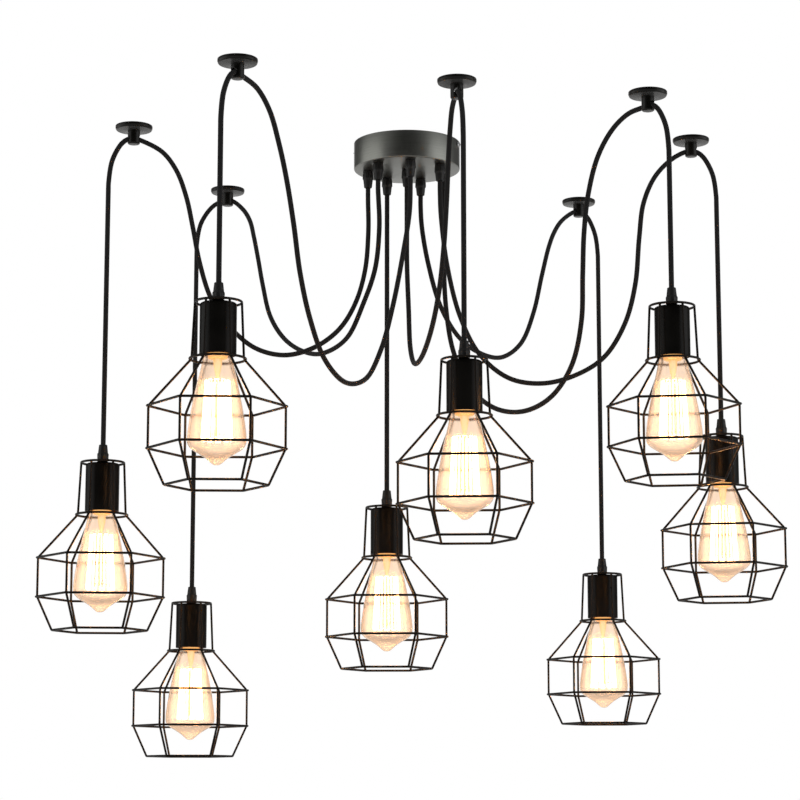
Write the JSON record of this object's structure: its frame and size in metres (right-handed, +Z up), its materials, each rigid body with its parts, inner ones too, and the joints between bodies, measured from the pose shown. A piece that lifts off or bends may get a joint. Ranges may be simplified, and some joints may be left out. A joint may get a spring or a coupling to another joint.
{
  "type": "cluster pendant light",
  "caption": "Spider pendant light: a round ceiling canopy feeds caged lamps on long cords that loop over separate ceiling hooks and hang at stepped heights.",
  "frame": {"origin": "on the ceiling plane, at the middle of the mounting bracket", "axes": "+Z up into the ceiling, +X to the right in the picture, +Y away from the camera"},
  "size_m": [0.8947, 0.82, 0.7549],
  "materials": {
    "canopy": "satin dark nickel, finely brushed",
    "zinc": "bright zinc",
    "terminal": "matt",
    "grips": "matt black",
    "hooks": "satin black",
    "cord": "braided black textile sleeve",
    "lamp_metal": "satin black",
    "bulb_glass": "clear amber"
  },
  "bodies": {
    "ceiling_set": {"canopy_cup": "canopy", "mounting_bracket": "zinc", "terminal_block": "terminal", "canopy_cord_grips": "grips", "side_screw_right": "zinc", "side_screw_left": "zinc", "ceiling_hook_1": "hooks", "ceiling_hook_2": "hooks", "ceiling_hook_3": "hooks", "ceiling_hook_5": "hooks", "ceiling_hook_6": "hooks", "ceiling_hook_7": "hooks", "ceiling_hook_8": "hooks", "loop_cord_1": "cord", "loop_cord_2": "cord", "loop_cord_3": "cord", "loop_cord_5": "cord", "loop_cord_6": "cord", "loop_cord_7": "cord", "loop_cord_8": "cord"},
    "lamp_1": {"drop_cord_1": "cord", "cord_grip_1": "grips", "lamp_holder_1": "lamp_metal", "wire_cage_1": "lamp_metal"},
    "screwed_bulb_1": {"bulb_1": "bulb_glass"},
    "lamp_2": {"drop_cord_2": "cord", "cord_grip_2": "grips", "lamp_holder_2": "lamp_metal", "wire_cage_2": "lamp_metal"},
    "screwed_bulb_2": {"bulb_2": "bulb_glass"},
    "lamp_3": {"drop_cord_3": "cord", "cord_grip_3": "grips", "lamp_holder_3": "lamp_metal", "wire_cage_3": "lamp_metal"},
    "screwed_bulb_3": {"bulb_3": "bulb_glass"},
    "lamp_4": {"drop_cord_4": "cord", "cord_grip_4": "grips", "lamp_holder_4": "lamp_metal", "wire_cage_4": "lamp_metal"},
    "screwed_bulb_4": {"bulb_4": "bulb_glass"},
    "lamp_5": {"drop_cord_5": "cord", "cord_grip_5": "grips", "lamp_holder_5": "lamp_metal", "wire_cage_5": "lamp_metal"},
    "screwed_bulb_5": {"bulb_5": "bulb_glass"},
    "lamp_6": {"drop_cord_6": "cord", "cord_grip_6": "grips", "lamp_holder_6": "lamp_metal", "wire_cage_6": "lamp_metal"},
    "screwed_bulb_6": {"bulb_6": "bulb_glass"},
    "lamp_7": {"drop_cord_7": "cord", "cord_grip_7": "grips", "lamp_holder_7": "lamp_metal", "wire_cage_7": "lamp_metal"},
    "screwed_bulb_7": {"bulb_7": "bulb_glass"},
    "lamp_8": {"drop_cord_8": "cord", "cord_grip_8": "grips", "lamp_holder_8": "lamp_metal", "wire_cage_8": "lamp_metal"},
    "screwed_bulb_8": {"bulb_8": "bulb_glass"}
  },
  "joints": [
    {"name": "lamp_swing_1", "type": "hinge", "parent": "ceiling_set", "child": "lamp_1", "pos_m": [-0.36069, -0.09077, -0.08], "axis": [0, 1, 0], "range_deg": [-8, 8]},
    {"name": "bulb_turn_1", "type": "hinge", "parent": "lamp_1", "child": "screwed_bulb_1", "pos_m": [-0.36069, -0.09077, -0.49302], "axis": [0, 0, 1], "range_deg": [0, 360]},
    {"name": "lamp_swing_2", "type": "hinge", "parent": "ceiling_set", "child": "lamp_2", "pos_m": [-0.2039, -0.37744, -0.08], "axis": [0, 1, 0], "range_deg": [-8, 8]},
    {"name": "bulb_turn_2", "type": "hinge", "parent": "lamp_2", "child": "screwed_bulb_2", "pos_m": [-0.2039, -0.37744, -0.35792], "axis": [0, 0, 1], "range_deg": [0, 360]},
    {"name": "lamp_swing_3", "type": "hinge", "parent": "ceiling_set", "child": "lamp_3", "pos_m": [-0.28136, 0.23529, -0.08], "axis": [0, 1, 0], "range_deg": [-8, 8]},
    {"name": "bulb_turn_3", "type": "hinge", "parent": "lamp_3", "child": "screwed_bulb_3", "pos_m": [-0.28136, 0.23529, -0.634], "axis": [0, 0, 1], "range_deg": [0, 360]},
    {"name": "lamp_swing_4", "type": "hinge", "parent": "ceiling_set", "child": "lamp_4", "pos_m": [-0.02492, 0.04219, -0.0548], "axis": [0, 1, 0], "range_deg": [-8, 8]},
    {"name": "bulb_turn_4", "type": "hinge", "parent": "lamp_4", "child": "screwed_bulb_4", "pos_m": [-0.02492, 0.04219, -0.53094], "axis": [0, 0, 1], "range_deg": [0, 360]},
    {"name": "lamp_swing_5", "type": "hinge", "parent": "ceiling_set", "child": "lamp_5", "pos_m": [0.06224, -0.30534, -0.08], "axis": [0, 1, 0], "range_deg": [-8, 8]},
    {"name": "bulb_turn_5", "type": "hinge", "parent": "lamp_5", "child": "screwed_bulb_5", "pos_m": [0.06224, -0.30534, -0.40812], "axis": [0, 0, 1], "range_deg": [0, 360]},
    {"name": "lamp_swing_6", "type": "hinge", "parent": "ceiling_set", "child": "lamp_6", "pos_m": [0.26249, 0.30408, -0.08], "axis": [0, 1, 0], "range_deg": [-8, 8]},
    {"name": "bulb_turn_6", "type": "hinge", "parent": "lamp_6", "child": "screwed_bulb_6", "pos_m": [0.26249, 0.30408, -0.59021], "axis": [0, 0, 1], "range_deg": [0, 360]},
    {"name": "lamp_swing_7", "type": "hinge", "parent": "ceiling_set", "child": "lamp_7", "pos_m": [0.29884, -0.24758, -0.08], "axis": [0, 1, 0], "range_deg": [-8, 8]},
    {"name": "bulb_turn_7", "type": "hinge", "parent": "lamp_7", "child": "screwed_bulb_7", "pos_m": [0.29884, -0.24758, -0.33603], "axis": [0, 0, 1], "range_deg": [0, 360]},
    {"name": "lamp_swing_8", "type": "hinge", "parent": "ceiling_set", "child": "lamp_8", "pos_m": [0.382, -0.024, -0.08], "axis": [0, 1, 0], "range_deg": [-8, 8]},
    {"name": "bulb_turn_8", "type": "hinge", "parent": "lamp_8", "child": "screwed_bulb_8", "pos_m": [0.382, -0.024, -0.45191], "axis": [0, 0, 1], "range_deg": [0, 360]}
  ]
}
